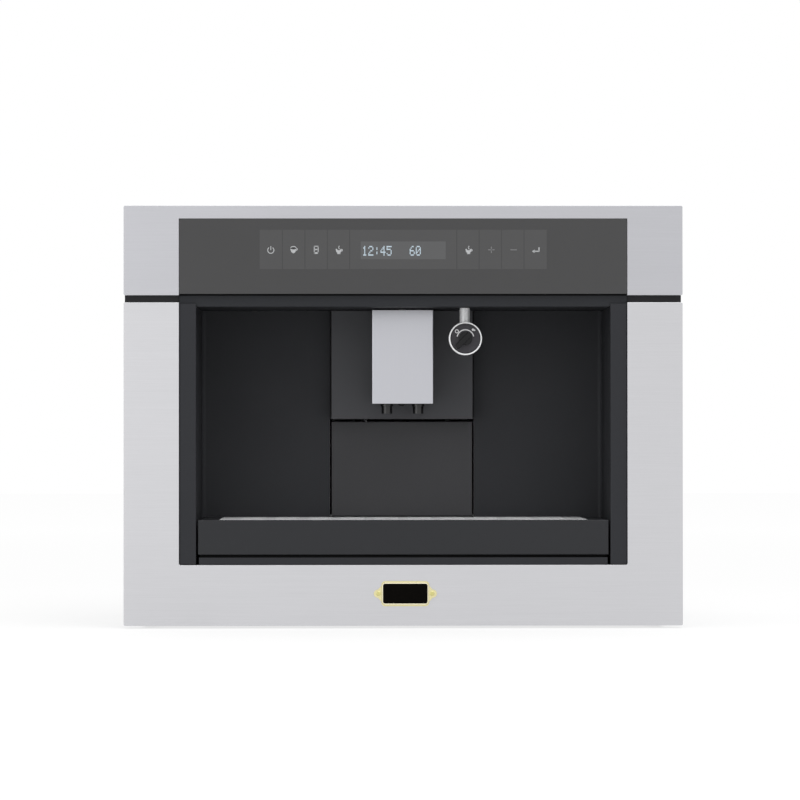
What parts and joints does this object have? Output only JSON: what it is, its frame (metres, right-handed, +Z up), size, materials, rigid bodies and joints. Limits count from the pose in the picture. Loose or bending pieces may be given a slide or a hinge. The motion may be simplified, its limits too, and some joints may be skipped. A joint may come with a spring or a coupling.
{
  "type": "built-in coffee machine",
  "caption": "Built-in bean-to-cup coffee machine with a steel front, dark glass touch panel, open cup bay, height-adjustable spout, steam tap and drip tray, on telescopic slides.",
  "frame": {"origin": "middle of the bounding box, on the surface that the slide brackets stand on", "axes": "+X to the right seen from the front, the front faces -Y, +Z up"},
  "size_m": [0.595, 0.4014, 0.45],
  "materials": {
    "steel_front": "brushed along its length, satin",
    "spout_steel": "fine brushed, satin",
    "grid_steel": "polished",
    "black_steel": "satin black paint",
    "zinc_sheet": "zinc coated, matt",
    "slide_steel": "bright zinc",
    "zinc_screws": "zinc plated",
    "dark_glass": "dark grey glass, printed behind, glossy",
    "green_board": "solder mask",
    "brass_plate": "polished",
    "black_enamel": "bare black enamel",
    "black_trim": "satin moulded black",
    "black_moulding": "fine grained black",
    "black_tray": "satin moulded black",
    "chromed_brass": "chromed",
    "black_dial": "satin black with white marks",
    "bearing_plastic": "acetal",
    "clear_plastic": "clear",
    "smoky_plastic": "smoke tinted",
    "grey_plastic": "moulded grey",
    "white_plastic": "food grade white",
    "burr_steel": "ground steel",
    "cast_aluminium": "die cast",
    "pump_plastic": "glass filled",
    "clear_hose": "silicone",
    "white_hose": "fluoropolymer"
  },
  "bodies": {
    "niche_mount": {"niche_bracket_left": "slide_steel", "niche_bracket_right": "slide_steel", "outer_slide_left": "slide_steel", "outer_slide_right": "slide_steel"},
    "slide_middles": {"middle_slide_left": "slide_steel", "middle_slide_right": "slide_steel", "slide_bearings": "bearing_plastic"},
    "machine": {"lower_front": "steel_front", "upper_front": "steel_front", "front_bulkhead": "black_steel", "control_glass": "dark_glass", "control_board": "green_board", "name_plate": "brass_plate", "name_plate_field": "black_enamel", "name_plate_rivets": "brass_plate", "bay_ceiling": "black_trim", "bay_trims": "black_trim", "bay_wall_left": "black_moulding", "bay_wall_right": "black_moulding", "tray_shelf": "black_trim", "spout_housing": "black_moulding", "base_pan": "zinc_sheet", "side_panel_left": "zinc_sheet", "side_panel_right": "zinc_sheet", "rear_panel": "zinc_sheet", "top_cover": "zinc_sheet", "case_screws": "zinc_screws", "inner_frame": "zinc_sheet", "inner_slide_left": "slide_steel", "inner_slide_right": "slide_steel", "tank_dock": "grey_plastic", "bean_hopper": "smoky_plastic", "coffee_chute": "grey_plastic", "filling_deck": "grey_plastic", "grinder_housing": "grey_plastic", "brew_chamber": "grey_plastic", "brew_drive": "grey_plastic", "heater": "cast_aluminium", "pump": "pump_plastic", "power_board": "green_board", "supply_hose": "clear_hose", "pressure_pipes": "white_hose", "mains_inlet": "black_moulding"},
    "drip_tray": {"drip_tray": "black_tray"},
    "cup_grid": {"cup_grid": "grid_steel"},
    "grounds_drawer": {"grounds_drawer": "black_moulding"},
    "coffee_spout": {"spout_body": "black_moulding", "spout_face": "spout_steel"},
    "steam_tap": {"tap_body": "chromed_brass", "tap_dial": "black_dial"},
    "tap_wing": {"tap_wing": "black_dial"},
    "water_tank": {"water_tank": "clear_plastic"},
    "tank_lid": {"tank_lid": "grey_plastic"},
    "hopper_lid": {"hopper_lid": "grey_plastic"},
    "chute_lid": {"chute_lid": "grey_plastic"},
    "grinder_burr": {"grinder_burr": "burr_steel"},
    "grind_dial": {"grind_dial": "grey_plastic"},
    "brew_piston": {"brew_piston": "white_plastic"},
    "lead_screw": {"lead_screw": "burr_steel"},
    "mains_rocker": {"mains_rocker": "black_dial"}
  },
  "joints": [
    {"name": "machine_pull_out", "type": "slide", "parent": "niche_mount", "child": "machine", "axis": [0, -1, 0], "range_m": [0, 0.35]},
    {"name": "slide_middle_travel", "type": "slide", "parent": "niche_mount", "child": "slide_middles", "axis": [0, -1, 0], "range_m": [0, 0.175]},
    {"name": "drip_tray_slide", "type": "slide", "parent": "machine", "child": "drip_tray", "axis": [0, -1, 0], "range_m": [0, 0.16]},
    {"name": "cup_grid_lift", "type": "slide", "parent": "drip_tray", "child": "cup_grid", "axis": [0, 0, 1], "range_m": [0, 0.03]},
    {"name": "grounds_drawer_slide", "type": "slide", "parent": "machine", "child": "grounds_drawer", "axis": [0, -1, 0], "range_m": [0, 0.14]},
    {"name": "spout_height", "type": "slide", "parent": "machine", "child": "coffee_spout", "axis": [0, 0, 1], "range_m": [-0.06, 0]},
    {"name": "tap_swivel", "type": "hinge", "parent": "machine", "child": "steam_tap", "pos_m": [0.067, -0.13835, 0.33], "axis": [0, 0, 1], "range_deg": [0, 75]},
    {"name": "tap_wing_turn", "type": "hinge", "parent": "steam_tap", "child": "tap_wing", "pos_m": [0.067, -0.17035, 0.3092], "axis": [0, -1, 0], "range_deg": [0, 90]},
    {"name": "water_tank_lift", "type": "slide", "parent": "machine", "child": "water_tank", "axis": [0, 0, 1], "range_m": [0, 0.155]},
    {"name": "tank_lid_hinge", "type": "hinge", "parent": "water_tank", "child": "tank_lid", "pos_m": [-0.185, 0.17135, 0.4433], "axis": [-1, 0, 0], "range_deg": [0, 95]},
    {"name": "hopper_lid_hinge", "type": "hinge", "parent": "machine", "child": "hopper_lid", "pos_m": [0.18, 0.18485, 0.4433], "axis": [-1, 0, 0], "range_deg": [0, 95]},
    {"name": "chute_lid_hinge", "type": "hinge", "parent": "machine", "child": "chute_lid", "pos_m": [0.002, 0.16485, 0.4433], "axis": [-1, 0, 0], "range_deg": [0, 95]},
    {"name": "burr_spin", "type": "hinge", "parent": "machine", "child": "grinder_burr", "pos_m": [0.18, 0.10165, 0.32], "axis": [0, 0, 1], "continuous": true},
    {"name": "grind_dial_turn", "type": "hinge", "parent": "machine", "child": "grind_dial", "pos_m": [0.108, 0.08565, 0.443], "axis": [0, 0, 1], "range_deg": [-150, 150]},
    {"name": "brew_piston_rise", "type": "slide", "parent": "machine", "child": "brew_piston", "axis": [0, 0, 1], "range_m": [0, 0.038]},
    {"name": "lead_screw_turn", "type": "hinge", "parent": "machine", "child": "lead_screw", "pos_m": [-0.04, 0.13665, 0.2], "axis": [0, 0, 1], "range_deg": [0, 1370]},
    {"name": "mains_rocker_tilt", "type": "hinge", "parent": "machine", "child": "mains_rocker", "pos_m": [0.2, 0.19465, 0.088], "axis": [-1, 0, 0], "range_deg": [0, 14]}
  ],
  "couplings": [
    {"joint": "slide_middle_travel", "follows": "machine_pull_out", "ratio": 0.5},
    {"joint": "lead_screw_turn", "follows": "brew_piston_rise", "rad_per_m": 628.32}
  ]
}
